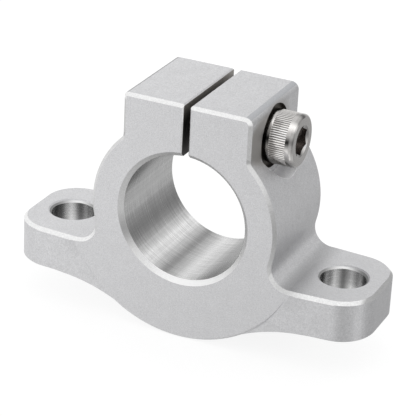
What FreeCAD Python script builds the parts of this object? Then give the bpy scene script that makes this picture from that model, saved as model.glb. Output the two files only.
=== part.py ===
import FreeCAD, Part
import math
import os
import re
import Sketcher

V = FreeCAD.Vector

# A shaft support block: a split clamp ring on two tapered ears, closed by one socket head cap screw.
# Frame: origin on the bore axis at mid depth, +Y along the bore to the back, +X to the screw head, +Z up.

doc = FreeCAD.newDocument("shaft_support_block")
sheet = doc.addObject("Spreadsheet::Sheet", "Sizes")

# Driving dimensions, in millimetres and degrees
SIZES = {
    # bore and depth
    "shaft_bore": 20.0,
    "bore_chamfer": 0.75,
    "block_depth": 18.0,
    # ring and the split clamp head above it
    "ring_wall": 5.2,
    "clamp_step": 4.85,
    "clamp_rise": 3.1,
    "clamp_corner": 1.0,
    "right_top_round": 1.2,
    "left_top_round": 0.65,
    "slit_width": 1.1,
    "slit_edge": 0.2,
    # round belly under the ring
    "belly_wall": 4.5,
    "belly_spread": 63.0,
    "belly_edge": 0.3,
    "belly_blend": 26.0,
    # ears
    "ear_drop": 7.4,
    "ear_thickness": 6.6,
    "ear_end": 6.5,
    "taper_gap": 0.74,
    "ear_taper": 3.8,
    "ear_corner": 5.8,
    "ear_fillet": 3.0,
    "relief_start": 1.2,
    "relief_angle": 3.5,
    "edge_chamfer": 0.5,
    "under_chamfer": 0.25,
    # mounting holes, 46 mm apart
    "hole_step": 5.34,
    "hole_diameter": 7.0,
    "hole_chamfer": 0.5,
    # clamp screw in the block
    "screw_drop": 5.55,
    "seat_gap": 1.6,
    "seat_depth": 0.6,
    "clearing_gap": 3.6,
    "clearance_gap": 0.3,
    "thread_diameter": 5.0,
    "thread_clearance": 0.05,
    "thread_mouth": 0.4,
    # clamp screw
    "screw_length": 20.0,
    "screw_tip": 0.6,
    "head_gap": 0.02,
    "head_diameter": 8.2,
    "head_height": 5.0,
    "head_round": 0.5,
    "head_foot": 0.25,
    "knurl_start": 1.3,
    "knurl_length": 2.55,
    "knurl_depth": 0.12,
    "knurl_teeth": 72,
    "socket_width": 4.0,
    "socket_depth": 2.5,
    "socket_mouth": 0.2,
    "socket_cone": 60.0,
}
for row, (alias, number) in enumerate(SIZES.items(), start=1):
    sheet.set(f"A{row}", alias)
    sheet.set(f"B{row}", str(number))
    sheet.setAlias(f"B{row}", alias)
doc.recompute()

# Places worked out from the driving dimensions
HALF_DEPTH = "block_depth / 2"
BORE_RADIUS = "shaft_bore / 2"
RING_RADIUS = f"({BORE_RADIUS} + ring_wall)"
HALF_CLAMP = f"({RING_RADIUS} - clamp_step)"
CLAMP_TOP = f"({RING_RADIUS} + clamp_rise)"
BELLY_RADIUS = f"({RING_RADIUS} + belly_wall)"
EAR_FLOOR = "(ear_drop + ear_thickness)"
FILLET_END = f"sqrt(({RING_RADIUS} + ear_fillet) ^ 2 - (ear_drop - ear_fillet) ^ 2)"
HOLE_REACH = f"({FILLET_END} + hole_step)"
EAR_REACH = f"({HOLE_REACH} + ear_end)"
BLEND_DROP = f"({EAR_FLOOR} + belly_blend)"
BLEND_REACH = f"sqrt(({BELLY_RADIUS} + belly_blend) ^ 2 - {BLEND_DROP} ^ 2)"
BELLY_SHARE = f"{BELLY_RADIUS} / ({BELLY_RADIUS} + belly_blend)"
TAPER_START = f"({FILLET_END} + taper_gap)"
TAPER_RISE = f"({EAR_REACH} + 1 - {TAPER_START}) * tan(ear_taper)"
SCREW_HEIGHT = f"({CLAMP_TOP} - screw_drop)"
SEAT_PLANE = f"({HALF_CLAMP} - seat_depth)"


def measure(formula):
    """The number that a formula on the sheet's cells gives."""
    return float(sheet.evalExpression(formula))


def bind(target, prop, formula):
    """Tie a property to a formula written with the cells' bare names."""
    words = re.compile(r"[a-z_]+")
    linked = words.sub(lambda m: f"Sizes.{m.group()}" if m.group() in SIZES else m.group(), formula)
    target.setExpression(prop, linked)


def new_body(label):
    body = doc.addObject("PartDesign::Body", label)
    body.Label = label
    return body


def origin_part(body, role):
    return next(part for part in body.Origin.OriginFeatures if part.Role == role)


def new_sketch(body, name, plane, lift=None):
    """A sketch on one of the body's origin planes, moved along the plane's normal by a formula."""
    sketch = body.newObject("Sketcher::SketchObject", name)
    sketch.AttachmentSupport = [(origin_part(body, plane), "")]
    sketch.MapMode = "FlatFace"
    if lift:
        bind(sketch, "AttachmentOffset.Base.z", lift)
    return sketch


def pin(sketch, geometry, point, across, up):
    """Fix one point of the sketch at two formulas measured from its origin."""
    for formula, kind, axis in ((across, "DistanceX", -2), (up, "DistanceY", -1)):
        if formula is None:
            continue
        value = measure(formula)
        if abs(value) < 1e-9:
            sketch.addConstraint(Sketcher.Constraint("PointOnObject", geometry, point, axis))
        elif value > 0:
            index = sketch.addConstraint(Sketcher.Constraint(kind, -1, 1, geometry, point, value))
            bind(sketch, f"Constraints[{index}]", formula)
        else:
            index = sketch.addConstraint(Sketcher.Constraint(kind, geometry, point, -1, 1, -value))
            bind(sketch, f"Constraints[{index}]", f"-({formula})")


def circle(sketch, across, up, radius):
    centre = V(measure(across), measure(up), 0)
    index = sketch.addGeometry(Part.Circle(centre, V(0, 0, 1), measure(radius)), False)
    pin(sketch, index, 3, across, up)
    limit = sketch.addConstraint(Sketcher.Constraint("Radius", index, measure(radius)))
    bind(sketch, f"Constraints[{limit}]", radius)


def polygon(sketch, corners):
    """A closed outline of straight sides through corners given as pairs of formulas."""
    points = [V(measure(across), measure(up), 0) for across, up in corners]
    count = len(points)
    for i in range(count):
        sketch.addGeometry(Part.LineSegment(points[i], points[(i + 1) % count]), False)
    for i in range(count):
        sketch.addConstraint(Sketcher.Constraint("Coincident", i, 2, (i + 1) % count, 1))
        pin(sketch, i, 1, *corners[i])


def extrude(body, kind, name, sketch, length=None, side="One side", back=False):
    """A pad or pocket of a sketch; with no length it goes through everything."""
    feature = body.newObject(f"PartDesign::{kind}", name)
    feature.Profile = sketch
    feature.SideType = side
    feature.Reversed = back
    if length is None:
        feature.Type = "ThroughAll"
    else:
        bind(feature, "Length", length)
    doc.recompute()
    return feature


def turn(body, kind, name, sketch, axis=None, angle=None):
    """A revolution or groove of a sketch about a body axis, or else the sketch's own level axis."""
    feature = body.newObject(f"PartDesign::{kind}", name)
    feature.Profile = sketch
    feature.ReferenceAxis = (origin_part(body, axis), [""]) if axis else (sketch, ["H_Axis"])
    if angle is None:
        feature.Angle = 360
    else:
        feature.Midplane = True
        bind(feature, "Angle", angle)
    doc.recompute()
    return feature


def edges_where(feature, test):
    """Names of the feature's edges whose start, middle and end points all pass the test."""
    names = []
    for number, edge in enumerate(feature.Shape.Edges, start=1):
        first, last = edge.ParameterRange
        points = [edge.valueAt(first + (last - first) * share) for share in (0, 0.25, 0.5, 0.75, 1)]
        if all(test(point) for point in points):
            names.append(f"Edge{number}")
    return names


def dress(body, kind, name, radius, test):
    """A fillet or chamfer on the edges of the body's present shape that pass the test."""
    base = body.Tip
    names = edges_where(base, test)
    if not names:
        raise RuntimeError(f"{name} finds no edge")
    feature = body.newObject(f"PartDesign::{kind}", name)
    feature.Base = (base, names)
    bind(feature, "Radius" if kind == "Fillet" else "Size", radius)
    doc.recompute()
    return feature


def mirrored(body, name, features, plane):
    feature = body.newObject("PartDesign::Mirrored", name)
    feature.Originals = features
    feature.MirrorPlane = (origin_part(body, plane), [""])
    body.Tip = feature
    doc.recompute()
    return feature


def near(value, target, slack=0.02):
    return abs(value - target) < slack


# The block: ring, split head, belly and ears in one piece
block = new_body("support_block")
half_depth = measure(HALF_DEPTH)
ring_radius = measure(RING_RADIUS)
half_clamp = measure(HALF_CLAMP)
ear_top = -measure("ear_drop")
ear_floor = -measure(EAR_FLOOR)
ear_reach = measure(EAR_REACH)
clamp_top = measure(CLAMP_TOP)

# Ear profile from the front, with the long hollow blend down to the belly
lug = new_sketch(block, "lug_profile", "XZ_Plane")
blend_x = measure(BLEND_REACH)
belly_x = blend_x * measure(BELLY_SHARE)
belly_z = -measure(BLEND_DROP) * measure(BELLY_SHARE)
blend_centre = V(blend_x, -measure(BLEND_DROP), 0)
blend_arc = Part.Arc(
    Part.Circle(blend_centre, V(0, 0, 1), measure("belly_blend")),
    math.pi / 2,
    math.atan2(belly_z - blend_centre.y, belly_x - blend_x),
)
ear_outline = [
    V(0, ear_top, 0),
    V(ear_reach, ear_top, 0),
    V(ear_reach, ear_floor, 0),
    V(blend_x, ear_floor, 0),
]
for start, end in zip(ear_outline, ear_outline[1:]):
    lug.addGeometry(Part.LineSegment(start, end), False)
lug.addGeometry(blend_arc, False)
lug.addGeometry(Part.LineSegment(V(belly_x, belly_z, 0), V(0, belly_z, 0)), False)
lug.addGeometry(Part.LineSegment(V(0, belly_z, 0), ear_outline[0]), False)
for line, after, after_point in ((0, 1, 1), (1, 2, 1), (2, 3, 1), (3, 4, 1), (4, 5, 1), (5, 0, 1)):
    lug.addConstraint(Sketcher.Constraint("Coincident", line, 2, after, after_point))
pin(lug, 0, 1, "0", "-ear_drop")
pin(lug, 1, 1, EAR_REACH, "-ear_drop")
pin(lug, 2, 1, EAR_REACH, f"-{EAR_FLOOR}")
pin(lug, 3, 3, BLEND_REACH, f"-{BLEND_DROP}")
pin(lug, 3, 1, BLEND_REACH, f"-{EAR_FLOOR}")
pin(lug, 4, 1, f"{BLEND_REACH} * {BELLY_SHARE}", None)
pin(lug, 5, 1, "0", f"-{BLEND_DROP} * {BELLY_SHARE}")
right_lug = extrude(block, "Pad", "right_lug", lug, "block_depth", "Symmetric")
mirrored(block, "left_lug", [right_lug], "YZ_Plane")

# Ring and the head that clamps it
ring = new_sketch(block, "ring_outline", "XZ_Plane")
circle(ring, "0", "0", RING_RADIUS)
extrude(block, "Pad", "ring", ring, "block_depth", "Symmetric")
head = new_sketch(block, "clamp_outline", "XZ_Plane")
polygon(head, [
    (f"-{HALF_CLAMP}", "0"),
    (HALF_CLAMP, "0"),
    (HALF_CLAMP, CLAMP_TOP),
    (f"-{HALF_CLAMP}", CLAMP_TOP),
])
extrude(block, "Pad", "clamp_head", head, "block_depth", "Symmetric")

# Hollow fillets between ring and ears, and the small corners where the head leaves the ring
ear_joint = math.sqrt(ring_radius ** 2 - ear_top ** 2)
clamp_joint = math.sqrt(ring_radius ** 2 - half_clamp ** 2)
dress(block, "Fillet", "ear_fillets", "ear_fillet",
      lambda p: near(abs(p.x), ear_joint) and near(p.z, ear_top))
dress(block, "Fillet", "clamp_corners", "clamp_corner",
      lambda p: near(abs(p.x), half_clamp) and near(p.z, clamp_joint))
dress(block, "Fillet", "right_top_edge", "right_top_round",
      lambda p: near(p.x, half_clamp) and near(p.z, clamp_top))
dress(block, "Fillet", "left_top_edge", "left_top_round",
      lambda p: near(p.x, -half_clamp) and near(p.z, clamp_top))

# Ears narrow towards their ends: four wedges are cut away in plan
taper = new_sketch(block, "ear_taper_outline", "XY_Plane")
polygon(taper, [
    (TAPER_START, HALF_DEPTH),
    (f"{EAR_REACH} + 1", f"{HALF_DEPTH} - {TAPER_RISE}"),
    (f"{EAR_REACH} + 1", f"{HALF_DEPTH} + 1"),
    (TAPER_START, f"{HALF_DEPTH} + 1"),
])
right_taper = extrude(block, "Pocket", "back_right_taper", taper, None, "Symmetric")
back_tapers = mirrored(block, "back_left_taper", [right_taper], "YZ_Plane")
front = new_sketch(block, "front_taper_outline", "XY_Plane")
polygon(front, [
    (TAPER_START, f"-{HALF_DEPTH}"),
    (TAPER_START, f"-({HALF_DEPTH} + 1)"),
    (f"{EAR_REACH} + 1", f"-({HALF_DEPTH} + 1)"),
    (f"{EAR_REACH} + 1", f"-({HALF_DEPTH} - {TAPER_RISE})"),
])
front_taper = extrude(block, "Pocket", "front_right_taper", front, None, "Symmetric")
mirrored(block, "front_left_taper", [front_taper], "YZ_Plane")

# Round upright corners at the ends of the ears
taper_start = measure(TAPER_START)
end_depth = half_depth - (ear_reach - taper_start) * math.tan(math.radians(measure("ear_taper")))
dress(block, "Fillet", "ear_corners", "ear_corner",
      lambda p: near(abs(p.x), ear_reach) and near(abs(p.y), end_depth))

# Bright edge chamfers along both faces and round the top of the ears
dress(block, "Chamfer", "outline_chamfers", "edge_chamfer",
      lambda p: p.z > ear_top - 0.02 and (near(abs(p.y), half_depth) or near(p.z, ear_top))
      and not (near(p.z, ear_top) and abs(p.y) < half_depth - 0.6 and abs(p.x) < ear_reach - 5))
dress(block, "Chamfer", "under_chamfers", "under_chamfer",
      lambda p: near(p.z, ear_floor) and abs(p.x) > blend_x + 0.02)

# Faces of the ears lean back below their top edge, so that the belly stands proud of them
relief = new_sketch(block, "ear_relief_outline", "YZ_Plane")
relief_top = "-(ear_drop + relief_start)"
relief_low = f"-({BELLY_RADIUS} + 1)"
relief_lean = f"({BELLY_RADIUS} + 1 - ear_drop - relief_start) * tan(relief_angle)"
polygon(relief, [
    (HALF_DEPTH, relief_top),
    (f"{HALF_DEPTH} - {relief_lean}", relief_low),
    (f"{HALF_DEPTH} + 1", relief_low),
    (f"{HALF_DEPTH} + 1", relief_top),
])
back_relief = extrude(block, "Pocket", "back_relief", relief, None, "Symmetric")
mirrored(block, "front_relief", [back_relief], "XZ_Plane")

# Belly: a sector of a round disc on the bore axis, with broken rims
belly = new_sketch(block, "belly_section", "YZ_Plane")
belly_inner = f"-({BORE_RADIUS} - bore_chamfer)"
belly_rim = f"{HALF_DEPTH} - belly_edge"
polygon(belly, [
    (HALF_DEPTH, belly_inner),
    (f"-{HALF_DEPTH}", belly_inner),
    (f"-{HALF_DEPTH}", f"-({BELLY_RADIUS} - belly_edge)"),
    (f"-({belly_rim})", f"-{BELLY_RADIUS}"),
    (belly_rim, f"-{BELLY_RADIUS}"),
    (HALF_DEPTH, f"-({BELLY_RADIUS} - belly_edge)"),
])
turn(block, "Revolution", "belly", belly, "Y_Axis", "2 * belly_spread")

# Shaft bore with its mouth chamfers
bore = new_sketch(block, "bore_outline", "XZ_Plane")
circle(bore, "0", "0", BORE_RADIUS)
extrude(block, "Pocket", "shaft_bore", bore, None, "Symmetric")
bore_radius = measure(BORE_RADIUS)
dress(block, "Chamfer", "bore_chamfers", "bore_chamfer",
      lambda p: near(math.hypot(p.x, p.z), bore_radius) and near(abs(p.y), half_depth))

# Two mounting holes
holes = new_sketch(block, "hole_outlines", "XY_Plane")
for side in ("", "-"):
    circle(holes, f"{side}{HOLE_REACH}", "0", "hole_diameter / 2")
extrude(block, "Pocket", "mounting_holes", holes, None, "Symmetric")
hole_x = measure(HOLE_REACH)
hole_radius = measure("hole_diameter / 2")
dress(block, "Chamfer", "hole_chamfers", "hole_chamfer",
      lambda p: near(math.hypot(abs(p.x) - hole_x, p.y), hole_radius)
      and (near(p.z, ear_top) or near(p.z, ear_floor)))

# Slit from the top into the bore
slit = new_sketch(block, "slit_outline", "XZ_Plane")
polygon(slit, [
    ("-slit_width / 2", "0"),
    ("slit_width / 2", "0"),
    ("slit_width / 2", f"{CLAMP_TOP} + 1"),
    ("-slit_width / 2", f"{CLAMP_TOP} + 1"),
])
extrude(block, "Pocket", "slit", slit, None, "Symmetric")
half_slit = measure("slit_width / 2")
dress(block, "Chamfer", "slit_edges", "slit_edge",
      lambda p: near(abs(p.x), half_slit) and (near(p.z, clamp_top) or near(abs(p.y), half_depth)))

# The ring's shoulder is cleared round the screw head, level with the flat side above it
clearing = new_sketch(block, "clearing_outline", "YZ_Plane", HALF_CLAMP)
circle(clearing, "0", SCREW_HEIGHT, "(head_diameter + clearing_gap) / 2")
extrude(block, "Pocket", "shoulder_clearing", clearing, None, "One side", True)

# Screw seat, clearance hole and threaded hole across the slit
seat = new_sketch(block, "seat_outline", "YZ_Plane", SEAT_PLANE)
circle(seat, "0", SCREW_HEIGHT, "(head_diameter + seat_gap) / 2")
extrude(block, "Pocket", "screw_seat", seat, None, "One side", True)
clearance = new_sketch(block, "clearance_outline", "YZ_Plane")
circle(clearance, "0", SCREW_HEIGHT, "(thread_diameter + clearance_gap) / 2")
extrude(block, "Pocket", "screw_clearance", clearance, None, "One side", True)
thread = new_sketch(block, "thread_outline", "YZ_Plane")
circle(thread, "0", SCREW_HEIGHT, "thread_diameter / 2 + thread_clearance")
extrude(block, "Pocket", "threaded_hole", thread, None, "One side", False)
mouth = new_sketch(block, "thread_mouth_outline", "XZ_Plane")
bind(mouth, "AttachmentOffset.Base.y", SCREW_HEIGHT)
mouth_radius = "thread_diameter / 2 + thread_clearance + thread_mouth"
polygon(mouth, [
    (f"-{HALF_CLAMP}", "0"),
    (f"-{HALF_CLAMP}", mouth_radius),
    (f"{mouth_radius} - {HALF_CLAMP}", "0"),
])
turn(block, "Groove", "thread_mouth", mouth)

# The clamp screw, turned about its own axis: its local X runs from the tip to the head
screw = new_body("clamp_screw")
profile = new_sketch(screw, "screw_profile", "XZ_Plane")
shank = "thread_diameter / 2"
crown = "head_diameter / 2"
polygon(profile, [
    ("-screw_length", "0"),
    ("0", "0"),
    ("head_height", "0"),
    ("head_height", crown),
    ("head_foot", crown),
    ("0", f"{crown} - head_foot"),
    ("0", shank),
    ("screw_tip - screw_length", shank),
    ("-screw_length", f"{shank} - screw_tip"),
])
turn(screw, "Revolution", "turned_screw", profile, "X_Axis")
crown_radius = measure(crown)
head_height = measure("head_height")
dress(screw, "Fillet", "head_rounding", "head_round",
      lambda p: near(p.x, head_height) and near(math.hypot(p.y, p.z), crown_radius))

# Hexagon socket with a drilled bottom and a broken mouth
socket = new_sketch(screw, "socket_hexagon", "YZ_Plane", "head_height")
across = "socket_width / 2"
point = "socket_width / sqrt(3)"
polygon(socket, [
    (across, f"{point} / 2"),
    ("0", point),
    (f"-{across}", f"{point} / 2"),
    (f"-{across}", f"-{point} / 2"),
    ("0", f"-{point}"),
    (across, f"-{point} / 2"),
])
extrude(screw, "Pocket", "socket", socket, "socket_depth", "One side", False)
drill = new_sketch(screw, "socket_bottom", "XZ_Plane")
socket_floor = "(head_height - socket_depth)"
polygon(drill, [
    (socket_floor, "0"),
    (socket_floor, across),
    (f"{socket_floor} - {across} / tan(socket_cone)", "0"),
])
turn(screw, "Groove", "socket_cone", drill, "X_Axis")
rim = new_sketch(screw, "socket_mouth", "XZ_Plane")
polygon(rim, [
    ("head_height", "0"),
    ("head_height", f"{point} + socket_mouth"),
    (f"head_height - ({point} + socket_mouth) / tan(socket_cone)", "0"),
])
turn(screw, "Groove", "socket_rim", rim, "X_Axis")

# Straight knurl round the grip of the head
groove = new_sketch(screw, "knurl_groove", "YZ_Plane", "knurl_start")
groove_half = f"{crown} * tan(180 / knurl_teeth)"
polygon(groove, [
    ("0", f"{crown} - knurl_depth"),
    (groove_half, f"{crown} + knurl_depth / 10"),
    (f"-{groove_half}", f"{crown} + knurl_depth / 10"),
])
first_groove = extrude(screw, "Pocket", "first_groove", groove, "knurl_length", "One side", True)
knurl = screw.newObject("PartDesign::PolarPattern", "knurl")
knurl.Originals = [first_groove]
knurl.Axis = (origin_part(screw, "X_Axis"), [""])
knurl.Angle = 360
bind(knurl, "Occurrences", "knurl_teeth")
screw.Tip = knurl
bind(screw, "Placement.Base.x", f"{SEAT_PLANE} + head_gap")
bind(screw, "Placement.Base.z", SCREW_HEIGHT)
doc.recompute()

# Write each piece
bad = [item.Name for item in doc.Objects if {"Invalid", "Error"} & set(item.State)]
if bad:
    raise RuntimeError(f"failed objects: {bad}")
os.makedirs("parts", exist_ok=True)
for piece in (block, screw):
    shape = piece.Shape
    if shape.isNull() or not shape.isValid():
        raise RuntimeError(f"{piece.Label} has no valid shape")
    shape.exportStep(os.path.join("parts", f"{piece.Label}.step"))
    box = shape.BoundBox
    print(piece.Label, len(shape.Solids), "solids", round(shape.Volume), "mm3", box)
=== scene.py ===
import math
from types import SimpleNamespace

import bpy
from mathutils import Matrix, Vector


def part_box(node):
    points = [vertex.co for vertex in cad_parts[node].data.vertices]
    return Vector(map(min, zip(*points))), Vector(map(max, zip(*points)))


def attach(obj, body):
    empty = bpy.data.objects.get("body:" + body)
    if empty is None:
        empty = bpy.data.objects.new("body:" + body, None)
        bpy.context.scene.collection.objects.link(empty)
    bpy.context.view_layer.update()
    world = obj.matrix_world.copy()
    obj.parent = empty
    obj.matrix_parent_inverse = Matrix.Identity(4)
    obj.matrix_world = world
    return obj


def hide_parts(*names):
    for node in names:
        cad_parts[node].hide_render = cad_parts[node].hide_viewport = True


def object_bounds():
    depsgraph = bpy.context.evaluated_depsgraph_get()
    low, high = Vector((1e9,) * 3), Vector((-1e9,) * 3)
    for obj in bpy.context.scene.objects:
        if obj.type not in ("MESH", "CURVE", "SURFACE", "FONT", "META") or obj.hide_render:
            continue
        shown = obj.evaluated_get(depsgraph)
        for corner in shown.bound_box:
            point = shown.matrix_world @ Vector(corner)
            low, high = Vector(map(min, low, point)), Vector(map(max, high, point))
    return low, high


bl_info = {
    "name": "Shaft support block",
    "version": (1, 0, 0),
    "blender": (4, 5, 0),
    "location": "View3D > Sidebar > Shaft support",
    "description": "Dresses a split shaft support block and its clamp screw in a plain studio",
    "category": "Object",
}

MM = 0.001
THREADED_SCREW = "threaded_clamp_screw"

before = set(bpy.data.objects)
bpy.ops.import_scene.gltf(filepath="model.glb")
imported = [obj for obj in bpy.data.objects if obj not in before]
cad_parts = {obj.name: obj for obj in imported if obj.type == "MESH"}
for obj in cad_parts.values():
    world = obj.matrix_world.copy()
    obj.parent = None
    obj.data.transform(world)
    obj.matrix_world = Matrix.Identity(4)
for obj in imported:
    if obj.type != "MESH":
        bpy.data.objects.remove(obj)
cad_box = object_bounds()

# Sizes of the block that its finishes follow
EAR_REACH, HALF_DEPTH, HEAD_TOP = cad_box[1]
BORE_RADIUS = 10.0 * MM
BORE_CHAMFER = 0.75 * MM
RING_RADIUS = 15.2 * MM
BELLY_RADIUS = 19.7 * MM
HEAD_SIDE = 10.35 * MM
RIGHT_ROUND = 1.2 * MM
LEFT_ROUND = 0.65 * MM
HALF_SLIT = 0.55 * MM
SEAT_RADIUS = 4.9 * MM
SEAT_START = 9.6 * MM
CLEARING_RADIUS = 5.9 * MM
EAR_TOP = -7.4 * MM
UPRIGHT_START = 11.3 * MM
EAR_START = 17.5 * MM
EAR_CORNER = 24.6 * MM
HOLE_REACH = 23.0 * MM
HOLE_RADIUS = 3.5 * MM
CHAMFER = 0.5 * MM

# Sizes of the clamp screw, with heights measured down from the face of its head
HEAD_HEIGHT = 5.0 * MM
KNURL_TOP = 1.15 * MM
KNURL_FOOT = 3.7 * MM
GROOVE_RADIUS = 4.05 * MM
FACE_RADIUS = 3.6 * MM
SOCKET_RADIUS = 2.5 * MM
SOCKET_RIM = 0.3 * MM
SOCKET_END = 4.6 * MM
SHANK_RADIUS = 2.5 * MM
TIP_CHAMFER = 0.6 * MM

# How far a finish reaches past the surface it follows, and how softly it ends
FINE = 0.02 * MM
SLACK = 0.03 * MM
BLUR = 0.1 * MM
FADE = 0.5 * MM

# Parts of rounds, rims and faces that catch a different light from the rest of them; that light and shade is
# painted into their colour
STRIP_DROP = 0.35 * MM
HOLE_RIM = 0.28 * MM
EAR_END = 1.1 * MM
EAR_END_FADE = 0.8 * MM
FLANK_START = 9.0 * MM
FILLET_LIGHT = 18.8 * MM
FILLET_FADE = 3.6 * MM
CREASE_WIDTH = 4.0 * MM
SLIT_LIGHT = 16.6 * MM
SLIT_FADE = 3.4 * MM
SOCKET_LIGHT = 2.0 * MM
RIM_DEPTH = 0.5 * MM
ROUNDING_DEPTH = 0.55 * MM
ROUNDING_FADE = 0.3 * MM

# Painted shade beside and around the screw head, darkest on the flank: its middle from the screw's axis, its
# size and how far it covers
HALO_SHADE_FORWARD = 4.0 * MM
HALO_SHADE_RISE = 0.9 * MM
HALO_SHADE_RADIUS = 3.6 * MM
HALO_SHADE_STRETCH = 0.6
HALO_SHADE_FADE = 1.6 * MM
HALO_SHADE_FOOT_FADE = 2.0 * MM
HALO_SHADE_SHARE = 0.9
HALO_RADIUS = 5.7 * MM
HALO_SHARE = 0.4

# Sizes of the patterns and depths of the reliefs in the finishes
CLOUD_SIZE = 2.2 * MM
MOTTLE_SIZE = 0.5 * MM
DRAWN_SIZE = 0.8 * MM
LINE_LENGTH = 5.0 * MM
SPECKLE_SIZE = 0.25 * MM
RING_PITCH = 0.06 * MM
FIBRE_SIZE = 10.0 / 3.0 * MM
DIMPLE_DEPTH = 0.012 * MM
RIDGE_DEPTH = 0.0008 * MM
RING_DEPTH = 0.004 * MM

# How bright and how rough some places are against the rest of their finish, and shades from end to end. The
# brightness numbers and shades are painted light and shade, standing in for the studio's light.
CUT_GAIN = 1.7
PLATED_GAIN = 1.5
CLEARING_SHADE = 1.6
LOW_ROUND_SHADE = 0.92
CREASE_SHADE = 0.92
FILLET_SHADE = 1.4
LEFT_STRIP_SHADE = 0.55
UPRIGHT_SHADE = 0.65
EAR_END_SHADE = 0.54
GROOVE_SHADE = 0.35
SHANK_LEVEL = 0.5
# The blasted faces painted lighter to the left as painted light, and darker towards the foot
LEFT_TO_RIGHT = {"start": -24.0 * MM, "end": 24.0 * MM, "low": 1.09, "high": 0.94}
FOOT_TO_RING = {"start": -19.0 * MM, "end": 3.0 * MM, "low": 0.93, "high": 1.0}
SLIT_SHADES = (0.35, 2.2)
SOCKET_SHADES = (1.0, 1.6)
TURNED_ROUGHNESS = 0.12
FIBRE_SHADES = (0.985, 1.0)

# Painted light and dark bands: painted reflections, highlights and shade of the studio in the finishes'
# colour: a level, then for each band its middle, its half width and how much it changes the level. These are
# degrees round an axis, or millimetres along one.
BORE_BANDS = (0.33, (20, 25, 0.2), (75, 25, 0.2), (115, 28, 0.45), (147, 16, -0.2), (180, 28, 0.3),
              (209, 12, -0.05), (234, 20, 0.44), (254, 10, -0.05), (273, 20, 0.36), (303, 20, -0.14))
BORE_EDGE_BANDS = (0.74, (203, 22, -0.3), (290, 95, 0.5))
RING_EDGE_BANDS = (0.82, (8, 28, -0.2))
FILLET_EDGE_BANDS = (1.0, (16.5, 4.5, -0.28))
RIGHT_HOLE_BANDS = (0.8, (32, 48, -0.65), (110, 24, -0.6), (178, 44, -0.7))
LEFT_HOLE_BANDS = (0.8, (35, 45, -0.65), (99, 24, -0.6), (167, 48, -0.7))
HOLE_EDGE_BANDS = (0.35, (110, 60, 0.65))
EAR_CORNER_BANDS = (1.0, (26.2, 1.8, -0.22), (28.3, 1.0, 0.25))
FLANK_BANDS = (1.0, (-7.3, 0.7, -0.28), (-5.9, 0.8, 0.15), (3.0, 6.0, 0.08))
POLISH_BANDS = (0.52, (25, 30, 0.1), (90, 14, -0.25), (131, 16, 0.48), (165, 18, -0.5), (190, 14, 0.3),
                (222, 18, -0.2), (243, 12, 0.2), (285, 25, -0.3))
KNURL_BANDS = (0.65, (30, 30, 0.15), (150, 60, 0.45), (200, 30, 0.3), (300, 25, 0.15))
HEAD_ROUNDING_BANDS = (0.42, (88, 16, -0.3), (131, 16, 0.58), (164, 14, -0.2), (202, 22, 0.3))
SOCKET_RIM_BANDS = (0.3, (320, 50, 0.8))

# Working values of the thread's modelling
OVERLAP = 0.02 * MM
DOUBLES = 0.002 * MM
SEAM = 0.001 * MM
PLANE_SLACK = 0.0001 * MM
TURN_STEPS = 36
RUN_OUT = 2
BAR_ROOM = 1.004
FACING = 0.9
SMOOTH_ANGLE = math.radians(20.0)

# Studio. A lobe of light is its direction, the cosines where it starts and is full, and both strengths.
DIM_RIGHT = ((0.75, 0.5, -0.45), 0.25, 0.9, 1.0, 0.6)
BRIGHT_TOP = ((-0.2, 0.3, 1.0), 0.3, 1.0, 1.0, 1.05)
WHITE = (1.0, 1.0, 1.0, 1.0)
FLOOR_GLOW = 0.82
FLOOR_SIZE = 6.0
FLOOR_GAP = 0.02 * MM
SENSOR_WIDTH = 36.0
CLIP_START, CLIP_END = 0.01, 10.0


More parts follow.
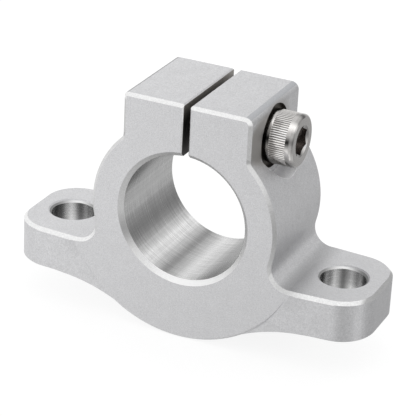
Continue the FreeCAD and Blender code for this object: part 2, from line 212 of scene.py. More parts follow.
class BlockFinish(bpy.types.PropertyGroup):
    """Colours and surface sizes of the aluminium block."""

    blasted_colour: bpy.props.FloatVectorProperty(
        name="Blasted faces",
        description="Colour of the matte blasted faces",
        subtype="COLOR", size=3, min=0.0, max=1.0, default=(0.625, 0.625, 0.635),
    )
    cut_colour: bpy.props.FloatVectorProperty(
        name="Cut faces",
        description="Colour of the bored and drilled walls",
        subtype="COLOR", size=3, min=0.0, max=1.0, default=(0.60, 0.60, 0.60),
    )
    edge_colour: bpy.props.FloatVectorProperty(
        name="Chamfers",
        description="Colour of the bright chamfers cut after blasting",
        subtype="COLOR", size=3, min=0.0, max=1.0, default=(0.89, 0.89, 0.89),
    )
    # Painted shade: a near-black colour in the recess under the screw head, standing in for the shade there
    seat_shade_colour: bpy.props.FloatVectorProperty(
        name="Screw seat",
        description="Colour of the grease and dust left in the recess under the screw head",
        subtype="COLOR", size=3, min=0.0, max=1.0, default=(0.10, 0.09, 0.08),
    )
    # Painted shade: a darker colour beside and around the screw seat, standing in for the shade near the
    # recess
    film_colour: bpy.props.FloatVectorProperty(
        name="Oil film",
        description="Colour of the thin film of oil beside the screw seat",
        subtype="COLOR", size=3, min=0.0, max=1.0, default=(0.33, 0.318, 0.305),
    )
    # A darker bluish strip on the head's right round: partly its own machined finish, partly painted shade
    strip_colour_and_shade: bpy.props.FloatVectorProperty(
        name="Head's right edge",
        description="Colour of the long rounded edge over the screw head",
        subtype="COLOR", size=3, min=0.0, max=1.0, default=(0.47, 0.478, 0.494),
    )
    # Painted shade: a dark colour on the slit's walls, standing in for the shade inside it
    slit_shade_colour: bpy.props.FloatVectorProperty(
        name="Slit",
        description="Colour of the sawn walls of the slit",
        subtype="COLOR", size=3, min=0.0, max=1.0, default=(0.20, 0.19, 0.18),
    )
    blasted_roughness: bpy.props.FloatProperty(
        name="Blasted roughness",
        description="Roughness of the matte faces",
        subtype="FACTOR", min=0.0, max=1.0, default=0.5,
    )
    cut_roughness: bpy.props.FloatProperty(
        name="Cut roughness",
        description="Roughness of the bored and drilled walls",
        subtype="FACTOR", min=0.0, max=1.0, default=0.24,
    )
    grain: bpy.props.FloatProperty(
        name="Grain",
        description="Size of the dimples that blasting leaves",
        subtype="DISTANCE", unit="LENGTH", min=0.00002, max=0.002, default=0.00018, precision=5,
    )
    feed: bpy.props.FloatProperty(
        name="Feed",
        description="Pitch of the rings that the boring tool leaves",
        subtype="DISTANCE", unit="LENGTH", min=0.00002, max=0.002, default=0.00024, precision=5,
    )


class ScrewFinish(bpy.types.PropertyGroup):
    """Colours of the clamp screw and the shape of its thread."""

    plated_colour: bpy.props.FloatVectorProperty(
        name="Plated steel",
        description="Colour of the bright plated steel",
        subtype="COLOR", size=3, min=0.0, max=1.0, default=(0.66, 0.645, 0.63),
    )
    # Painted reflection: the turned face painted darker to stand in for the darker surroundings it mirrors
    face_shade_colour: bpy.props.FloatVectorProperty(
        name="Head face",
        description="Colour of the turned face of the head",
        subtype="COLOR", size=3, min=0.0, max=1.0, default=(0.44, 0.43, 0.42),
    )
    # Painted shade: a dark colour in the hexagon socket, standing in for the shade inside it; its far walls
    # are painted lighter
    socket_shade_colour: bpy.props.FloatVectorProperty(
        name="Socket",
        description="Colour of the dark walls and bottom of the hexagon socket",
        subtype="COLOR", size=3, min=0.0, max=1.0, default=(0.33, 0.312, 0.30),
    )
    roughness: bpy.props.FloatProperty(
        name="Roughness",
        description="Roughness of the plated steel",
        subtype="FACTOR", min=0.0, max=1.0, default=0.15,
    )
    pitch: bpy.props.FloatProperty(
        name="Pitch",
        description="Distance from one thread crest to the next",
        subtype="DISTANCE", unit="LENGTH", min=0.0002, max=0.002, default=0.0008, precision=5,
    )
    thread_depth: bpy.props.FloatProperty(
        name="Thread depth",
        description="Height of the crests above the roots",
        subtype="DISTANCE", unit="LENGTH", min=0.0001, max=0.001, default=0.00043, precision=5,
    )


class StudioLook(bpy.types.PropertyGroup):
    """Floor, light and camera."""

    floor_colour: bpy.props.FloatVectorProperty(
        name="Floor",
        description="Colour of the pale floor",
        subtype="COLOR", size=3, min=0.0, max=1.0, default=(0.2, 0.2, 0.2),
    )
    surround: bpy.props.FloatProperty(
        name="Surround",
        description="Strength of the even light from all round",
        min=0.0, max=10.0, default=1.0,
    )
    azimuth: bpy.props.FloatProperty(
        name="Azimuth",
        description="Direction of the camera round the block, from the front to the right",
        subtype="ANGLE", unit="ROTATION", default=math.radians(23.853),
    )
    elevation: bpy.props.FloatProperty(
        name="Elevation",
        description="Height of the camera above the horizon",
        subtype="ANGLE", unit="ROTATION", default=math.radians(24.977),
    )
    roll: bpy.props.FloatProperty(
        name="Roll",
        description="Turn of the camera about its line of sight",
        subtype="ANGLE", unit="ROTATION", default=math.radians(3.044),
    )
    distance: bpy.props.FloatProperty(
        name="Distance",
        description="Distance from the camera to the point it aims at",
        subtype="DISTANCE", unit="LENGTH", min=0.05, max=2.0, default=0.29238,
    )
    aim: bpy.props.FloatVectorProperty(
        name="Aim",
        description="Point that the camera looks at",
        subtype="TRANSLATION", unit="LENGTH", size=3, default=(0.003172, -0.006690, 0.001819),
    )
    lens: bpy.props.FloatProperty(
        name="Lens",
        description="Focal length in millimetres on a 36 mm wide sensor",
        unit="CAMERA", min=20.0, max=400.0, default=170.05,
    )


class Graph:
    """Short way to lay out a node tree."""

    def __init__(self, tree):
        self.tree = tree

    def node(self, kind, **settings):
        made = self.tree.nodes.new(kind)
        for key, value in settings.items():
            setattr(made, key, value)
        return made

    def feed(self, socket, value):
        """Link another node's output to a socket, or set it to a constant."""
        if isinstance(value, bpy.types.NodeSocket):
            self.tree.links.new(value, socket)
        else:
            socket.default_value = value

    def math(self, operation, *values):
        made = self.node("ShaderNodeMath", operation=operation)
        for socket, value in zip(made.inputs, values):
            self.feed(socket, value)
        return made.outputs[0]

    def all_of(self, *factors):
        """Product of several numbers, or the share where several places overlap."""
        whole = factors[0]
        for factor in factors[1:]:
            whole = self.math("MULTIPLY", whole, factor)
        return whole

    def ramp(self, value, start, end, low, high, kind="LINEAR"):
        """Low to high as a value goes from start to end, and held at both ends."""
        made = self.node("ShaderNodeMapRange", interpolation_type=kind)
        numbers = {"Value": value, "From Min": start, "From Max": end, "To Min": low, "To Max": high}
        for name, number in numbers.items():
            self.feed(made.inputs[name], number)
        return made.outputs["Result"]


class Finish(Graph):
    """Graph of one material, with shares from 0 to 1 for its places."""

    def __init__(self, name):
        self.material = bpy.data.materials.new(name)
        self.material.use_nodes = True
        super().__init__(self.material.node_tree)
        self.shader = self.tree.nodes["Principled BSDF"]
        self.place = self.node("ShaderNodeTexCoord").outputs["Object"]

    def split(self):
        """The three coordinates of a place on the piece."""
        made = self.node("ShaderNodeSeparateXYZ")
        self.feed(made.inputs[0], self.place)
        return made.outputs

    def join(self, x, y, z):
        made = self.node("ShaderNodeCombineXYZ")
        for socket, value in zip(made.inputs, (x, y, z)):
            self.feed(socket, value)
        return made.outputs[0]

    def stretched(self, *factors):
        """The place on the piece, multiplied by a number along each axis."""
        made = self.node("ShaderNodeVectorMath", operation="MULTIPLY")
        self.feed(made.inputs[0], self.place)
        self.feed(made.inputs[1], factors)
        return made.outputs[0]

    def radius(self, a, b):
        """Distance from an axis, given the two coordinates across it."""
        return self.math("SQRT", self.math("ADD", self.math("MULTIPLY", a, a), self.math("MULTIPLY", b, b)))

    def turn(self, a, b):
        """Degrees round an axis, given the two coordinates across it."""
        return self.math("DEGREES", self.math("ARCTAN2", b, a))

    def over(self, value, edge, width=SLACK):
        """0 to 1 as a value rises past an edge, within a width."""
        return self.ramp(value, edge - width / 2, edge + width / 2, 0.0, 1.0, "SMOOTHSTEP")

    def under(self, value, edge, width=SLACK):
        """1 to 0 as a value rises past an edge, within a width."""
        return self.ramp(value, edge - width / 2, edge + width / 2, 1.0, 0.0, "SMOOTHSTEP")

    def bands(self, place, bands):
        """A level with soft painted light and dark bands, along a coordinate in millimetres or round an axis
        in degrees.
        """
        level, *stripes = bands
        for middle, reach, change in stripes:
            away = self.math("WRAP", self.math("SUBTRACT", place, middle), 180.0, -180.0)
            share = self.under(self.math("ABSOLUTE", away), reach / 2, reach)
            level = self.math("MULTIPLY_ADD", share, change, level)
        return level

    def noise(self, vector, size, detail, roughness):
        made = self.node("ShaderNodeTexNoise")
        numbers = {"Vector": vector, "Scale": 1.0 / size, "Detail": detail, "Roughness": roughness}
        for name, number in numbers.items():
            self.feed(made.inputs[name], number)
        return made.outputs["Fac"]

    def span(self, share, low, high):
        """A share spread from one number to another."""
        return self.ramp(share, 0.0, 1.0, low, high)

    def about(self, share, middle, below, above):
        """A share spread from a little below a number to a little above it."""
        return self.span(share, middle - below, middle + above)

    def vary(self, share, by):
        """A share turned into a shade about 1."""
        return self.about(share, 1.0, by, by)

    def mix(self, share, first, second):
        """Mix of two numbers."""
        made = self.node("ShaderNodeMix", data_type="FLOAT")
        self.feed(made.inputs[0], share)
        self.feed(made.inputs[2], first)
        self.feed(made.inputs[3], second)
        return made.outputs[0]

    def shaded(self, share, shade):
        """A shade in one place, and 1 elsewhere."""
        return self.mix(share, 1.0, shade)

    def blend(self, share, first, second, kind="MIX"):
        """Mix of two colours."""
        made = self.node("ShaderNodeMix", data_type="RGBA", blend_type=kind)
        self.feed(made.inputs[0], share)
        for socket, value in ((made.inputs[6], first), (made.inputs[7], second)):
            self.feed(socket, value if isinstance(value, bpy.types.NodeSocket) else (*value, 1.0))
        return made.outputs[2]

    def tint(self, colour, shade):
        """A colour made lighter or darker by a number."""
        return self.blend(1.0, colour, self.join(shade, shade, shade), "MULTIPLY")

    def bump(self, height, distance, normal=None):
        made = self.node("ShaderNodeBump")
        self.feed(made.inputs["Height"], height)
        self.feed(made.inputs["Distance"], distance)
        if normal is not None:
            self.feed(made.inputs["Normal"], normal)
        return made.outputs["Normal"]


def block_places(g, screw_height):
    """Where the block's finishes lie, as shares, with the coordinates and turns that its painted light and
    dark bands follow.
    """
    x, y, z = g.split()
    across, aside = g.math("ABSOLUTE", x), g.math("ABSOLUTE", y)
    from_bore = g.radius(x, z)
    from_screw = g.radius(y, g.math("SUBTRACT", z, screw_height))
    hole_x = g.math("SUBTRACT", x, g.math("MULTIPLY", g.math("SIGN", x), HOLE_REACH))
    from_hole = g.radius(hole_x, y)
    at = SimpleNamespace(x=x, y=y, z=z, bore_turn=g.turn(x, z), hole_turn=g.turn(hole_x, y))
    at.x_mm, at.z_mm = g.math("DIVIDE", x, MM), g.math("DIVIDE", z, MM)

    at.bore = g.under(from_bore, BORE_RADIUS + SLACK)
    at.hole = g.under(from_hole, HOLE_RADIUS + SLACK)
    at.cut = g.math("MAXIMUM", at.bore, at.hole)
    at.seat = g.all_of(g.under(from_screw, SEAT_RADIUS + SLACK, 2 * FINE), g.over(x, SEAT_START, BLUR))
    at.slit = g.all_of(g.under(across, HALF_SLIT + FINE, FINE), g.over(z, BORE_RADIUS - BLUR, BLUR))
    at.clearing = g.all_of(g.under(from_screw, CLEARING_RADIUS + SLACK, 2 * FINE),
                           g.over(x, HEAD_SIDE + BLUR / 2, BLUR / 2))

    # The head's long rounded edges, between the chamfers of the front and the back, with a darker strip and
    # painted shade on them
    between = g.under(aside, HALF_DEPTH - CHAMFER + FINE)
    at.right_strip = g.all_of(between, g.over(x, HEAD_SIDE - RIGHT_ROUND + FINE),
                              g.over(z, HEAD_TOP - STRIP_DROP))
    at.low_round = g.all_of(between, g.over(x, HEAD_SIDE - STRIP_DROP, BLUR / 2),
                            g.over(z, HEAD_TOP - RIGHT_ROUND, 2 * BLUR), g.under(z, HEAD_TOP - STRIP_DROP))
    at.left_strip = g.all_of(between, g.under(x, LEFT_ROUND - HEAD_SIDE - BLUR / 2, BLUR / 2),
                             g.over(z, HEAD_TOP - LEFT_ROUND + BLUR / 2, BLUR / 2))

    # Chamfers of the outline, of the ears' tops, of the holes and of the bore
    outline = g.all_of(g.over(aside, HALF_DEPTH - CHAMFER), g.under(aside, HALF_DEPTH - SLACK / 2, FINE / 2),
                       g.over(z, EAR_TOP - CHAMFER - BLUR))
    ear_edge = g.all_of(g.over(z, EAR_TOP - CHAMFER), g.under(z, EAR_TOP - FINE / 2, FINE / 2),
                        g.over(across, EAR_START, BLUR),
                        g.over(from_hole, HOLE_RADIUS + CHAMFER + 2 * BLUR, BLUR))
    at.edge = g.math("MAXIMUM", outline, ear_edge)
    at.hole_edge = g.all_of(g.over(from_hole, HOLE_RADIUS + FINE, FINE),
                            g.under(from_hole, HOLE_RADIUS + HOLE_RIM, BLUR / 2))
    at.bore_edge = g.all_of(g.over(from_bore, BORE_RADIUS + SLACK),
                            g.under(from_bore, BORE_RADIUS + BORE_CHAMFER - FINE / 2, FINE),
                            g.over(aside, HALF_DEPTH - BORE_CHAMFER + FINE / 2, FINE))

    # Stretches of the outline's chamfers, which get painted shade
    at.upright = g.all_of(g.over(across, HEAD_SIDE - CHAMFER - BLUR, BLUR / 2),
                          g.over(z, UPRIGHT_START, FADE), g.under(z, HEAD_TOP - 2 * FADE, FADE))
    at.ring_edge = g.under(from_bore, RING_RADIUS + 4 * BLUR, BLUR)
    at.ear_end = g.over(x, EAR_REACH - EAR_END, EAR_END_FADE)

    # Faces given painted light and shade where the light meets them at a slant, and the crease given painted
    # shade
    at.flank = g.all_of(between, g.over(x, FLANK_START, FADE), g.over(z, EAR_TOP - SLACK, FINE),
                        g.over(from_bore, RING_RADIUS - 6 * BLUR, BLUR))
    at.fillet = g.over(x, FILLET_LIGHT, FILLET_FADE)
    at.ear_corner = g.all_of(g.over(x, EAR_CORNER, BLUR), g.under(z, EAR_TOP - CHAMFER - FINE))
    at.crease = g.all_of(g.over(from_bore, BELLY_RADIUS, BLUR),
                         g.under(from_bore, BELLY_RADIUS + CREASE_WIDTH / 2, CREASE_WIDTH),
                         g.over(aside, HALF_DEPTH - BLUR, BLUR), g.under(z, EAR_TOP - CHAMFER - BLUR, BLUR))

    # Painted shade: darker beside the screw head on the flank, and in a soft ring round the seat
    film_radius = g.radius(g.math("MULTIPLY", g.math("ADD", y, HALO_SHADE_FORWARD), HALO_SHADE_STRETCH),
                           g.math("SUBTRACT", z, screw_height + HALO_SHADE_RISE))
    halo = g.math("MULTIPLY", g.under(from_screw, HALO_RADIUS, HALO_SHADE_FADE), HALO_SHARE)
    at.film = g.all_of(at.flank, g.math("MAXIMUM", g.under(film_radius, HALO_SHADE_RADIUS, HALO_SHADE_FADE), halo),
                       g.over(z, BORE_RADIUS, HALO_SHADE_FOOT_FADE))
    return at


def blasted_faces(g, at, finish, grain, mottle):
    """Colour of the matte faces, with the studio's light on them painted in as light and shade, and painted
    shade beside the screw seat on the flank.
    """
    cloud = g.noise(g.place, CLOUD_SIZE, detail=3.0, roughness=0.6)
    flank_shade = g.math("MULTIPLY", g.bands(at.z_mm, FLANK_BANDS), g.shaded(at.fillet, FILLET_SHADE))
    # Random grain and cloud, then painted light and shade: lighter to the left, darker towards the foot,
    # painted shade and light on the flank and fillet, the ear's corner, the clearing's wall, the low round
    # and the crease
    shade = g.all_of(
        g.vary(cloud, by=0.05),
        g.vary(mottle, by=0.12),
        g.vary(grain, by=0.3),
        g.ramp(at.x, **LEFT_TO_RIGHT),
        g.ramp(at.z, **FOOT_TO_RING),
        g.shaded(at.flank, flank_shade),
        g.shaded(at.ear_corner, g.bands(at.x_mm, EAR_CORNER_BANDS)),
        g.shaded(at.clearing, CLEARING_SHADE),
        g.shaded(at.low_round, LOW_ROUND_SHADE),
        g.shaded(at.crease, CREASE_SHADE),
    )
    # Painted shade beside and around the screw seat
    film = g.math("MULTIPLY", at.film, HALO_SHADE_SHARE)
    return g.blend(film, g.tint(finish.blasted_colour, shade), finish.film_colour)


def tool_lines(g, at, feed):
    """Fine lines that the tools leave round the bore and the holes."""
    slow, fast = 1.0 / LINE_LENGTH, 1.0 / feed
    bore_lines = g.noise(g.stretched(slow, fast, slow), 1.0, detail=3.0, roughness=0.7)
    hole_lines = g.noise(g.stretched(slow, slow, fast), 1.0, detail=3.0, roughness=0.7)
    return g.mix(at.hole, bore_lines, hole_lines)


def cut_walls(g, at, finish, lines):
    """Colour of the bored and drilled walls, with the studio's reflections painted in as light and dark
    bands.
    """
    left, right = g.bands(at.hole_turn, LEFT_HOLE_BANDS), g.bands(at.hole_turn, RIGHT_HOLE_BANDS)
    hole_glints = g.mix(g.math("GREATER_THAN", at.x, 0.0), left, right)
    glints = g.mix(at.hole, g.bands(at.bore_turn, BORE_BANDS), hole_glints)
    along = g.join(at.x, g.math("MULTIPLY", at.y, at.hole), g.math("MULTIPLY", at.z, at.bore))
    drawn = g.noise(along, DRAWN_SIZE, detail=2.0, roughness=0.6)
    hairlines = g.mix(at.hole, g.vary(lines, by=0.5), g.vary(lines, by=0.2))
    return g.tint(finish.cut_colour, g.all_of(glints, hairlines, g.vary(drawn, by=0.25), CUT_GAIN))


def aluminium(finish, screw_height):
    """Blasted aluminium with bored walls and bright chamfers, with painted reflections, painted light and
    shade, and painted shade in the screw seat and the slit.
    """
    g = Finish("blasted_aluminium")
    at = block_places(g, screw_height)
    grain = g.noise(g.place, finish.grain, detail=2.0, roughness=0.6)
    mottle = g.noise(g.place, MOTTLE_SIZE, detail=2.0, roughness=0.65)
    lines = tool_lines(g, at, finish.feed)
    sparkle = g.vary(grain, by=0.2)

    colour = g.blend(at.cut, blasted_faces(g, at, finish, grain, mottle), cut_walls(g, at, finish, lines))
    # The head's right round as a darker strip, partly machined finish and partly painted shade; the left
    # round in painted shade
    colour = g.blend(at.right_strip, colour, g.tint(finish.strip_colour_and_shade, sparkle))
    colour = g.blend(at.left_strip, colour, g.tint(colour, LEFT_STRIP_SHADE))
    # Painted light and shade on the chamfers: bands round the ring, darker uprights, ear ends and edges near
    # the fillet, and bands on the holes' and bore's chamfers
    edge_shade = g.all_of(
        sparkle,
        g.vary(mottle, by=0.1),
        g.shaded(at.ring_edge, g.bands(at.bore_turn, RING_EDGE_BANDS)),
        g.shaded(at.upright, UPRIGHT_SHADE),
        g.shaded(at.ear_end, EAR_END_SHADE),
        g.bands(at.x_mm, FILLET_EDGE_BANDS),
    )
    bore_edge_shade = g.math("MULTIPLY", sparkle, g.bands(at.bore_turn, BORE_EDGE_BANDS))
    for place, shade in (
        (at.edge, edge_shade),
        (at.hole_edge, g.bands(at.hole_turn, HOLE_EDGE_BANDS)),
        (at.bore_edge, bore_edge_shade),
    ):
        colour = g.blend(place, colour, g.tint(finish.edge_colour, shade))
    # Painted shade: the screw seat's recess painted near black
    colour = g.blend(at.seat, colour, finish.seat_shade_colour)
    # Painted shade in the slit, lighter towards its top
    slit_shade = g.span(g.over(at.z, SLIT_LIGHT, SLIT_FADE), *SLIT_SHADES)
    colour = g.blend(at.slit, colour, g.tint(finish.slit_shade_colour, slit_shade))
    g.feed(g.shader.inputs["Base Color"], colour)

    matte = g.about(mottle, finish.blasted_roughness, below=0.05, above=0.05)
    smooth = g.about(lines, finish.cut_roughness, below=0.06, above=0.08)
    g.feed(g.shader.inputs["Roughness"], g.mix(at.cut, matte, smooth))
    g.shader.inputs["Metallic"].default_value = 0.9

    dimples = g.bump(g.math("MULTIPLY", grain, g.math("SUBTRACT", 1.0, at.cut)), DIMPLE_DEPTH)
    ridges = g.bump(g.math("MULTIPLY", lines, at.bore), RIDGE_DEPTH, normal=dimples)
    g.feed(g.shader.inputs["Normal"], ridges)
    return g.material


def screw_places(g, screw_height, head_face):
    """Where the screw's finishes lie, as shares, with the radius and the turn about its axis."""
    x, y, z = g.split()
    rise = g.math("SUBTRACT", z, screw_height)
    depth = g.math("SUBTRACT", head_face, x)
    radius = g.radius(y, rise)
    at = SimpleNamespace(radius=radius, turn=g.turn(y, rise))

    at.knurl = g.all_of(g.over(depth, KNURL_TOP), g.under(depth, KNURL_FOOT))
    at.groove = g.all_of(at.knurl, g.under(radius, GROOVE_RADIUS, 2 * SLACK))
    at.shank = g.over(depth, HEAD_HEIGHT, FINE)
    at.rounding = g.under(depth, ROUNDING_DEPTH, ROUNDING_FADE)
    at.face = g.all_of(g.under(depth, SLACK, FINE), g.under(radius, FACE_RADIUS + FINE, 4 * FINE))
    at.rim = g.all_of(g.under(radius, SOCKET_RADIUS + FINE, FINE), g.over(depth, FINE, FINE),
                      g.under(depth, RIM_DEPTH, BLUR))
    at.socket = g.all_of(g.under(radius, SOCKET_RADIUS - BLUR / 2, BLUR / 2),
                         g.over(depth, SOCKET_RIM, 2 * FINE), g.under(depth, SOCKET_END, BLUR))
    # Painted light: the socket's far walls painted lighter
    at.socket_shade = g.ramp(y, 0.0, SOCKET_LIGHT, *SOCKET_SHADES)
    return at


def plated_steel(finish, screw_height, head_face):
    """Bright plated steel with a knurled grip and turning rings on the face of the head, with painted
    reflections, painted shade in the knurl's grooves and socket, and a painted dim face.
    """
    g = Finish("plated_steel")
    at = screw_places(g, screw_height, head_face)
    speckle = g.noise(g.place, SPECKLE_SIZE, detail=3.0, roughness=0.6)
    rings = g.noise(g.join(g.math("DIVIDE", at.radius, RING_PITCH), 0.0, 0.0), 1.0, detail=2.0, roughness=0.6)

    # Painted reflections: light and dark bands round the axis on the rounding, knurl and polished parts,
    # painted shade in the knurl's grooves, and a painted highlight on the socket's rim
    glints = g.mix(at.rounding, g.bands(at.turn, POLISH_BANDS), g.bands(at.turn, HEAD_ROUNDING_BANDS))
    glints = g.mix(at.knurl, glints, g.bands(at.turn, KNURL_BANDS))
    glints = g.mix(at.shank, glints, SHANK_LEVEL)
    faint = g.vary(speckle, by=0.1)
    plated_shade = g.all_of(glints, faint, g.shaded(at.groove, GROOVE_SHADE), PLATED_GAIN)
    face_shade = g.math("MULTIPLY", g.vary(rings, by=0.15), faint)
    rim_shade = g.math("MULTIPLY", g.bands(at.turn, SOCKET_RIM_BANDS), PLATED_GAIN)
    colour = g.tint(finish.plated_colour, plated_shade)
    for place, base, shade in (
        (at.face, finish.face_shade_colour, face_shade),
        (at.rim, finish.plated_colour, rim_shade),
        (at.socket, finish.socket_shade_colour, at.socket_shade),
    ):
        colour = g.blend(place, colour, g.tint(base, shade))
    g.feed(g.shader.inputs["Base Color"], colour)

    polish = g.about(speckle, finish.roughness, below=0.05, above=0.06)
    g.feed(g.shader.inputs["Roughness"], g.mix(at.face, polish, finish.roughness + TURNED_ROUGHNESS))
    g.shader.inputs["Metallic"].default_value = 1.0
    g.feed(g.shader.inputs["Normal"], g.bump(g.math("MULTIPLY", rings, at.face), RING_DEPTH))
    return g.material


def pale_floor(colour):
    """Matte paper with a very faint fibre, which glows so that it shows white."""
    g = Finish("pale_floor")
    fibre = g.noise(g.place, FIBRE_SIZE, detail=3.0, roughness=0.5)
    g.feed(g.shader.inputs["Base Color"], g.tint(colour, g.span(fibre, *FIBRE_SHADES)))
    g.shader.inputs["Roughness"].default_value = 0.9
    g.shader.inputs["Emission Color"].default_value = WHITE
    g.shader.inputs["Emission Strength"].default_value = FLOOR_GLOW
    return g.material


def soft_surround(strength):
    """White paper all round for the camera; for the light, dimmer to the right and stronger above."""
    world = bpy.data.worlds.new("surround")
    world.use_nodes = True
    g = Graph(world.node_tree)
    direction = g.node("ShaderNodeTexCoord").outputs["Generated"]

    def lobe(towards, start, end, low, high):
        dot = g.node("ShaderNodeVectorMath", operation="DOT_PRODUCT")
        g.feed(dot.inputs[0], direction)
        g.feed(dot.inputs[1], Vector(towards).normalized())
        return g.ramp(dot.outputs["Value"], start, end, low, high, "SMOOTHSTEP")

    lit, white = g.node("ShaderNodeBackground"), g.node("ShaderNodeBackground")
    for background in (lit, white):
        background.inputs["Color"].default_value = WHITE
    g.feed(lit.inputs["Strength"], g.all_of(lobe(*DIM_RIGHT), lobe(*BRIGHT_TOP), strength))
    camera_ray = g.node("ShaderNodeLightPath").outputs["Is Camera Ray"]
    sort = g.node("ShaderNodeMixShader")
    for socket, value in zip(sort.inputs, (camera_ray, lit.outputs[0], white.outputs[0])):
        g.feed(socket, value)
    g.feed(g.tree.nodes["World Output"].inputs["Surface"], sort.outputs[0])
    return world


def dress(piece, material):
    """Give a piece one material in every slot."""
    slots = piece.data.materials
    if not slots:
        slots.append(material)
    for index in range(len(slots)):
        piece.material_slots[index].link = "OBJECT"
        piece.material_slots[index].material = material


def select_only(piece):
    bpy.ops.object.select_all(action="DESELECT")
    piece.select_set(True)
    bpy.context.view_layer.objects.active = piece


def apply_modifier(piece, kind, **settings):
    """Put one modifier on a piece and apply it."""
    select_only(piece)
    modifier = piece.modifiers.new(kind.lower(), kind)
    for key, value in settings.items():
        setattr(modifier, key, value)
    bpy.ops.object.modifier_apply(modifier=modifier.name)


def cut_off(piece, x, keep_right):
    """Cut a piece with an upright plane across X, drop one side and close the cut."""
    select_only(piece)
    bpy.ops.object.mode_set(mode="EDIT")
    bpy.ops.mesh.select_all(action="SELECT")
    bpy.ops.mesh.remove_doubles(threshold=DOUBLES)
    bpy.ops.mesh.bisect(plane_co=(x, 0.0, 0.0), plane_no=(1.0, 0.0, 0.0), use_fill=True,
                        threshold=PLANE_SLACK, clear_inner=keep_right, clear_outer=not keep_right)
    bpy.ops.object.mode_set(mode="OBJECT")


def bare_head(node, underside):
    """Copy of the CAD screw with its plain shank cut off."""
    head = bpy.data.objects.new(THREADED_SCREW, node.data.copy())
    bpy.context.scene.collection.objects.link(head)
    cut_off(head, underside - OVERLAP / 2, keep_right=True)
    bpy.ops.mesh.customdata_custom_splitnormals_clear()
    return head


def thread_profile(x, height, root, pitch, depth):
    """One pitch of thread outline above the screw's axis: root, rising flank, crest and falling flank."""
    root_flat, crest_flat = pitch / 4, pitch / 8
    flank = (pitch - root_flat - crest_flat) / 2
    bpy.ops.object.select_all(action="DESELECT")
    bpy.ops.mesh.primitive_plane_add(size=pitch, location=(x, 0.0, height))
    outline = bpy.context.object
    bpy.ops.object.mode_set(mode="EDIT")
    bpy.ops.mesh.select_all(action="SELECT")
    bpy.ops.mesh.merge(type="CENTER")
    bpy.ops.transform.translate(value=(0.0, 0.0, root))
    for along, up in ((root_flat, 0.0), (flank, depth), (crest_flat, 0.0), (flank, -depth)):
        bpy.ops.mesh.extrude_region_move(TRANSFORM_OT_translate={"value": (along, 0.0, up)})
    bpy.ops.object.mode_set(mode="OBJECT")
    return outline


def chamfered_bar(start, end, height, radius, tip):
    """Round bar along X with a chamfer at its start, which limits the thread."""
    bpy.ops.object.select_all(action="DESELECT")
    bpy.ops.mesh.primitive_cylinder_add(vertices=2 * TURN_STEPS, radius=radius, depth=end - start,
                                        location=((start + end) / 2, 0.0, height),
                                        rotation=(0.0, math.pi / 2, 0.0))
    bar = bpy.context.object
    bpy.ops.object.transform_apply(location=True, rotation=True, scale=True)
    bpy.ops.object.mode_set(mode="EDIT")
    bpy.ops.mesh.select_mode(type="FACE")
    bpy.ops.mesh.select_all(action="DESELECT")
    bpy.ops.object.mode_set(mode="OBJECT")
    for face in bar.data.polygons:
        face.select = face.normal.x < -FACING
    bpy.ops.object.mode_set(mode="EDIT")
    bpy.ops.mesh.bevel(offset=tip, segments=1, affect="EDGES")
    bpy.ops.object.mode_set(mode="OBJECT")
    return bar


def threaded_shank(start, end, height, finish):
    """Threaded shank with a chamfered tip, as one closed piece."""
    pitch, depth = finish.pitch, finish.thread_depth
    turns = math.ceil((end - start) / pitch) + 2 * RUN_OUT
    shank = thread_profile(start - RUN_OUT * pitch, height, SHANK_RADIUS - depth, pitch, depth)
    apply_modifier(shank, "SCREW", axis="X", screw_offset=pitch, iterations=turns, steps=TURN_STEPS,
                   render_steps=TURN_STEPS, use_merge_vertices=True, merge_threshold=SEAM)
    bpy.ops.object.transform_apply(location=True, rotation=True, scale=True)
    cut_off(shank, start - pitch / 2, keep_right=True)
    cut_off(shank, end + pitch / 2, keep_right=False)
    bpy.ops.object.mode_set(mode="EDIT")
    bpy.ops.mesh.select_all(action="SELECT")
    bpy.ops.mesh.normals_make_consistent(inside=False)
    bpy.ops.object.mode_set(mode="OBJECT")
    bar = chamfered_bar(start, end, height, SHANK_RADIUS * BAR_ROOM, TIP_CHAMFER)
    apply_modifier(shank, "BOOLEAN", operation="INTERSECT", solver="EXACT", object=bar)
    select_only(bar)
    bpy.ops.object.delete()
    return shank


class SHAFTSUPPORT_OT_dress_block(bpy.types.Operator):
    """Give the block its blasted, bored and chamfered finishes"""

    bl_idname = "shaftsupport.dress_block"
    bl_label = "Dress the block"

    def execute(self, context):
        low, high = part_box("clamp_screw")
        dress(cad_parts["support_block"], aluminium(context.scene.block_finish, (low.z + high.z) / 2))
        return {"FINISHED"}


class SHAFTSUPPORT_OT_cut_thread(bpy.types.Operator):
    """Give the clamp screw a thread in place of its plain shank"""

    bl_idname = "shaftsupport.cut_thread"
    bl_label = "Cut the thread"

    def execute(self, context):
        low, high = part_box("clamp_screw")
        underside = high.x - HEAD_HEIGHT
        screw = bare_head(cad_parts["clamp_screw"], underside)
        finish = context.scene.screw_finish
        shank = threaded_shank(low.x, underside + OVERLAP, (low.z + high.z) / 2, finish)
        select_only(screw)
        shank.select_set(True)
        bpy.ops.object.join()
        bpy.ops.object.shade_smooth_by_angle(angle=SMOOTH_ANGLE)
        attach(screw, "screw")
        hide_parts("clamp_screw")
        return {"FINISHED"}


class SHAFTSUPPORT_OT_dress_screw(bpy.types.Operator):
    """Give the clamp screw its plated finish"""

    bl_idname = "shaftsupport.dress_screw"
    bl_label = "Dress the clamp screw"

    def execute(self, context):
        low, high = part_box("clamp_screw")
        finish = context.scene.screw_finish
        dress(bpy.data.objects[THREADED_SCREW], plated_steel(finish, (low.z + high.z) / 2, high.x))
        return {"FINISHED"}


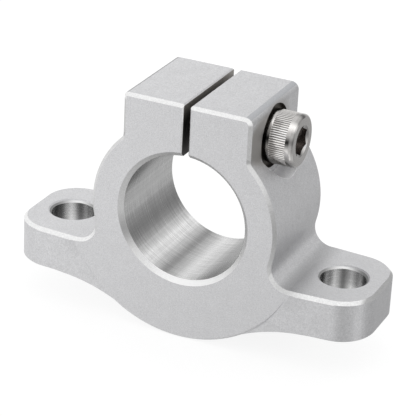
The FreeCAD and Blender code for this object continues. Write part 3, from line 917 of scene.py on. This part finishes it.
class SHAFTSUPPORT_OT_set_stage(bpy.types.Operator):
    """Lay the pale floor, hang the soft light and place the camera"""

    bl_idname = "shaftsupport.set_stage"
    bl_label = "Set the stage"

    def execute(self, context):
        look = context.scene.studio_look
        bpy.ops.object.select_all(action="DESELECT")
        bpy.ops.mesh.primitive_plane_add(size=FLOOR_SIZE, location=(0.0, 0.0, cad_box[0].z - FLOOR_GAP))
        floor = context.object
        floor.name = "floor"
        floor.data.materials.append(pale_floor(look.floor_colour))
        floor.visible_glossy = False
        floor.visible_diffuse = False

        context.scene.world = soft_surround(look.surround)

        azimuth, elevation = look.azimuth, look.elevation
        back = Vector((math.sin(azimuth) * math.cos(elevation), -math.cos(azimuth) * math.cos(elevation),
                       math.sin(elevation)))
        level = Vector((math.cos(azimuth), math.sin(azimuth), 0.0))
        upright = back.cross(level)
        right = math.cos(look.roll) * level + math.sin(look.roll) * upright
        up = math.cos(look.roll) * upright - math.sin(look.roll) * level
        data = bpy.data.cameras.new("photo_camera")
        data.sensor_width = SENSOR_WIDTH
        data.lens = look.lens
        data.clip_start, data.clip_end = CLIP_START, CLIP_END
        camera = bpy.data.objects.new("photo_camera", data)
        context.scene.collection.objects.link(camera)
        turned = Matrix((right, up, back)).transposed().to_4x4()
        camera.matrix_world = Matrix.Translation(Vector(look.aim) + back * look.distance) @ turned
        context.scene.camera = camera
        context.scene.view_settings.view_transform = "Standard"
        return {"FINISHED"}


class SHAFTSUPPORT_PT_panel(bpy.types.Panel):
    """Sizes, colours and steps of the shaft support block"""

    bl_idname = "SHAFTSUPPORT_PT_panel"
    bl_label = "Shaft support block"
    bl_space_type = "VIEW_3D"
    bl_region_type = "UI"
    bl_category = "Shaft support"

    def draw(self, context):
        for group, steps in PANEL_ROWS:
            box = self.layout.box()
            settings = getattr(context.scene, group)
            for name in settings.__annotations__:
                box.prop(settings, name)
            for step in steps:
                box.operator(step)


PANEL_ROWS = (
    ("block_finish", ("shaftsupport.dress_block",)),
    ("screw_finish", ("shaftsupport.cut_thread", "shaftsupport.dress_screw")),
    ("studio_look", ("shaftsupport.set_stage",)),
)
GROUPS = (("block_finish", BlockFinish), ("screw_finish", ScrewFinish), ("studio_look", StudioLook))
CLASSES = (
    BlockFinish,
    ScrewFinish,
    StudioLook,
    SHAFTSUPPORT_OT_dress_block,
    SHAFTSUPPORT_OT_cut_thread,
    SHAFTSUPPORT_OT_dress_screw,
    SHAFTSUPPORT_OT_set_stage,
    SHAFTSUPPORT_PT_panel,
)


def register():
    for item in CLASSES:
        bpy.utils.register_class(item)
    for name, group in GROUPS:
        setattr(bpy.types.Scene, name, bpy.props.PointerProperty(type=group))


def unregister():
    for name, _ in GROUPS:
        delattr(bpy.types.Scene, name)
    for item in reversed(CLASSES):
        bpy.utils.unregister_class(item)


def main():
    register()
    bpy.ops.shaftsupport.dress_block()
    bpy.ops.shaftsupport.cut_thread()
    bpy.ops.shaftsupport.dress_screw()
    bpy.ops.shaftsupport.set_stage()


if __name__ == "__main__":
    main()
